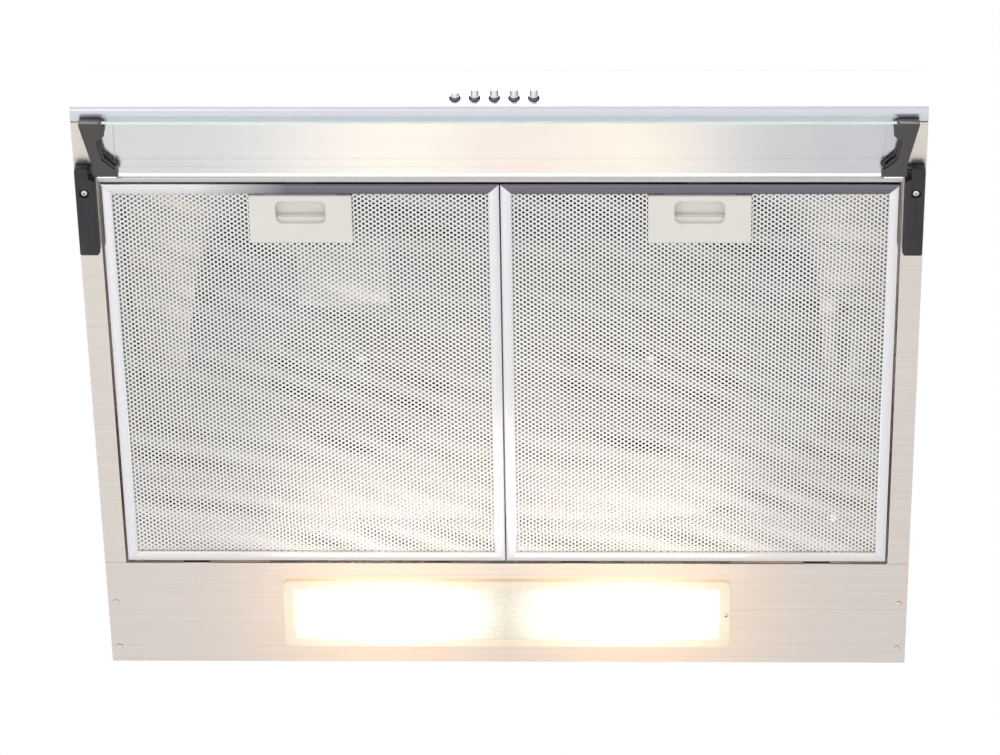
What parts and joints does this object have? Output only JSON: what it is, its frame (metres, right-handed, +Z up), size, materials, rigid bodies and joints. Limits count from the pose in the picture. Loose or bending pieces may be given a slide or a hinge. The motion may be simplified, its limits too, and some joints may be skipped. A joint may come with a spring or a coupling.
{
  "type": "under cabinet range hood",
  "caption": "Stainless steel cooker hood with a glass visor, mesh grease filters, a lit lens, push buttons, a blower and a top duct collar with backdraft flaps.",
  "frame": {"origin": "centre of the flat top face that meets the cabinet", "axes": "+X to the user's right across the width, +Y from the front to the wall, +Z up"},
  "size_m": [0.6, 0.5085, 0.1858],
  "materials": {
    "brushed_steel": "stainless steel brushed from side to side",
    "galvanised": "dull galvanised steel",
    "screw_steel": "bright turned steel",
    "chrome": "polished",
    "frame_aluminium": "bright rolled aluminium",
    "mesh_aluminium": "bright expanded mesh",
    "arm_plastic": "charcoal, finely textured",
    "black_plastic": "black, finely textured",
    "blower_plastic": "dark grey, satin",
    "handle_plastic": "light beige grey, satin",
    "lens_frame": "warm white, satin",
    "white_plastic": "white, satin",
    "visor_glass": "clear toughened glass with a green edge",
    "bulb_glass": "frosted bulb",
    "holder_ceramic": "glazed ceramic",
    "label": "blank label",
    "gland_rubber": "black rubber",
    "lead_rubber": "black flexible lead",
    "lamp_lens": "frosted, lit from behind"
  },
  "bodies": {
    "hood": {"canopy_shell": "brushed_steel", "front_fascia": "brushed_steel", "front_under_panel": "brushed_steel", "rear_light_panel": "brushed_steel", "lens_frame": "lens_frame", "lamp_lens": "lamp_lens", "lens_screw": "screw_steel", "lamp_tray": "galvanised", "switch_bank": "white_plastic", "blower_tray": "blower_plastic", "blower_housing": "blower_plastic", "blank_label": "label", "duct_collar": "black_plastic", "flap_pin": "screw_steel", "terminal_box": "white_plastic", "terminal_box_cover": "white_plastic", "cable_gland": "gland_rubber", "switch_lead": "lead_rubber", "capacitor": "galvanised", "visor_bracket_left": "black_plastic", "visor_pin_left": "black_plastic", "bracket_screw_left": "screw_steel", "lamp_bulb_left": "bulb_glass", "lamp_holder_left": "holder_ceramic", "motor_left": "galvanised", "panel_rivet_left_1": "screw_steel", "panel_rivet_left_2": "screw_steel", "visor_bracket_right": "black_plastic", "visor_pin_right": "black_plastic", "bracket_screw_right": "screw_steel", "lamp_bulb_right": "bulb_glass", "lamp_holder_right": "holder_ceramic", "motor_right": "galvanised", "panel_rivet_right_1": "screw_steel", "panel_rivet_right_2": "screw_steel", "button_ring_1": "chrome", "button_ring_2": "chrome", "button_ring_3": "chrome", "button_ring_4": "chrome", "button_ring_5": "chrome"},
    "visor": {"visor_glass": "visor_glass", "visor_arm_left": "arm_plastic", "visor_arm_right": "arm_plastic"},
    "filter_left": {"filter_frame_left": "frame_aluminium", "filter_mesh_left": "mesh_aluminium", "filter_handle_left": "handle_plastic"},
    "latch_left": {"filter_latch_left": "handle_plastic"},
    "impeller_left": {"impeller_left": "black_plastic"},
    "filter_right": {"filter_frame_right": "frame_aluminium", "filter_mesh_right": "mesh_aluminium", "filter_handle_right": "handle_plastic"},
    "latch_right": {"filter_latch_right": "handle_plastic"},
    "impeller_right": {"impeller_right": "black_plastic"},
    "button_1": {"push_button_1": "chrome"},
    "button_2": {"push_button_2": "chrome"},
    "button_3": {"push_button_3": "chrome"},
    "button_4": {"push_button_4": "chrome"},
    "button_5": {"push_button_5": "chrome"},
    "flap_front": {"backdraft_flap_front": "black_plastic"},
    "flap_rear": {"backdraft_flap_rear": "black_plastic"}
  },
  "joints": [
    {"name": "visor_hinge", "type": "hinge", "parent": "hood", "child": "visor", "pos_m": [0, -0.2, -0.1395], "axis": [1, 0, 0], "range_deg": [0, 80]},
    {"name": "filter_left_hinge", "type": "hinge", "parent": "hood", "child": "filter_left", "pos_m": [-0.1414, 0.152, -0.135], "axis": [1, 0, 0], "range_deg": [0, 80]},
    {"name": "latch_left_slide", "type": "slide", "parent": "filter_left", "child": "latch_left", "axis": [0, 1, 0], "range_m": [0, 0.005], "stiffness_N_per_m": 300},
    {"name": "impeller_left_spin", "type": "hinge", "parent": "hood", "child": "impeller_left", "pos_m": [-0.107, 0.015, -0.06], "axis": [0, 0, 1], "continuous": true},
    {"name": "filter_right_hinge", "type": "hinge", "parent": "hood", "child": "filter_right", "pos_m": [0.1414, 0.152, -0.135], "axis": [1, 0, 0], "range_deg": [0, 80]},
    {"name": "latch_right_slide", "type": "slide", "parent": "filter_right", "child": "latch_right", "axis": [0, 1, 0], "range_m": [0, 0.005], "stiffness_N_per_m": 300},
    {"name": "impeller_right_spin", "type": "hinge", "parent": "hood", "child": "impeller_right", "pos_m": [0.107, 0.015, -0.06], "axis": [0, 0, 1], "continuous": true},
    {"name": "button_1_push", "type": "slide", "parent": "hood", "child": "button_1", "axis": [0, 1, 0], "range_m": [-0.0025, 0.0015], "stiffness_N_per_m": 500},
    {"name": "button_2_push", "type": "slide", "parent": "hood", "child": "button_2", "axis": [0, 1, 0], "range_m": [0, 0.004], "stiffness_N_per_m": 500},
    {"name": "button_3_push", "type": "slide", "parent": "hood", "child": "button_3", "axis": [0, 1, 0], "range_m": [0, 0.004], "stiffness_N_per_m": 500},
    {"name": "button_4_push", "type": "slide", "parent": "hood", "child": "button_4", "axis": [0, 1, 0], "range_m": [0, 0.004], "stiffness_N_per_m": 500},
    {"name": "button_5_push", "type": "slide", "parent": "hood", "child": "button_5", "axis": [0, 1, 0], "range_m": [0, 0.004], "stiffness_N_per_m": 500},
    {"name": "flap_front_hinge", "type": "hinge", "parent": "hood", "child": "flap_front", "pos_m": [0, 0.08, 0.026], "axis": [-1, 0, 0], "range_deg": [0, 70]},
    {"name": "flap_rear_hinge", "type": "hinge", "parent": "hood", "child": "flap_rear", "pos_m": [0, 0.08, 0.026], "axis": [1, 0, 0], "range_deg": [0, 70]}
  ]
}
